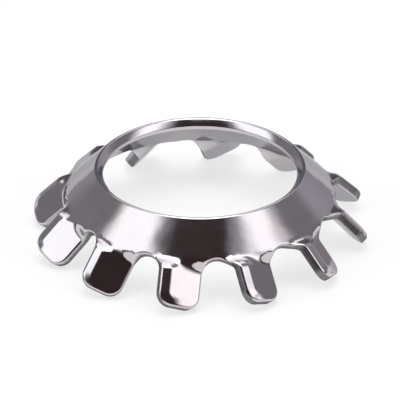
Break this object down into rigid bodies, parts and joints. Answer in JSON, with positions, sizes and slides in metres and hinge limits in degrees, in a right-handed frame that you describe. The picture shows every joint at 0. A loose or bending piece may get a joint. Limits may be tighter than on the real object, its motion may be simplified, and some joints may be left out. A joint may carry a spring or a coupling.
{
  "type": "toothed lock washer",
  "caption": "Countersunk lock washer: a thin bright steel cone ring with twisted teeth round its wide edge, which lock a flat-head screw in its countersink.",
  "frame": {"origin": "on the axis of the hole, at the level of the tooth tips that the washer stands on", "axes": "+Z along the axis of the hole, towards the narrow end of the cone; one tooth is on +X"},
  "size_m": [0.0114, 0.0114, 0.0025],
  "materials": {
    "bright_steel": "clean bright plated spring steel, mirror-like with a very fine grain and burnished edges"
  },
  "bodies": {
    "root": {"washer": "bright_steel"}
  },
  "joints": []
}
